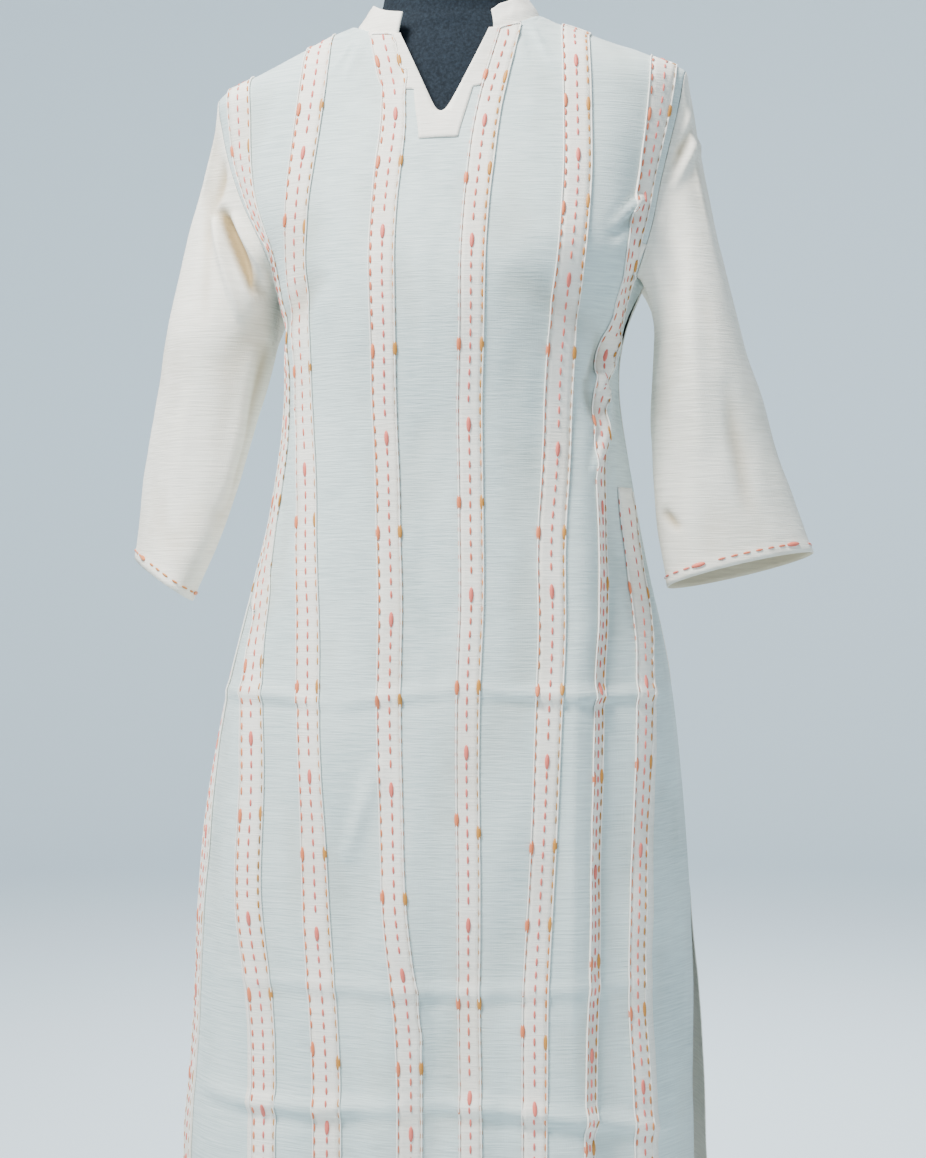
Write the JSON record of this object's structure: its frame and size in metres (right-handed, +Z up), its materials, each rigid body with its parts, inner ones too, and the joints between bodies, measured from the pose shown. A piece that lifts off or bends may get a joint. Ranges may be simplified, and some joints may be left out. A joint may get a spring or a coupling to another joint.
{
  "type": "kurta tunic on dress form",
  "caption": "Long straight kurta with stitched strips, band collar, neck slit, loose sleeves and side slits, worn by a limbless dress form on a round stand.",
  "frame": {"origin": "middle of the stand's base, on the floor", "axes": "+Z up; the tunic's front faces -Y; +X is on the right of a person who looks at the front"},
  "size_m": [0.578, 0.36, 1.4862],
  "materials": {
    "mint_cotton": "handloom cotton, matt, with slubs across",
    "cream_cotton": "plain cream cotton, matt",
    "strip_cotton": "pale cream cotton, matt",
    "navy_jersey": "fine dark jersey",
    "satin_steel": "satin"
  },
  "bodies": {
    "root": {"front": "mint_cotton", "back": "cream_cotton", "sleeve_left": "cream_cotton", "sleeve_right": "cream_cotton", "collar_band": "strip_cotton", "neck_facing": "strip_cotton", "strip_1": "strip_cotton", "strip_2": "strip_cotton", "strip_3": "strip_cotton", "strip_4": "strip_cotton", "strip_5": "strip_cotton", "strip_6": "strip_cotton", "strip_7": "strip_cotton", "strip_8": "strip_cotton", "form_torso": "navy_jersey", "stand_pole": "satin_steel", "stand_base": "satin_steel"}
  },
  "joints": []
}
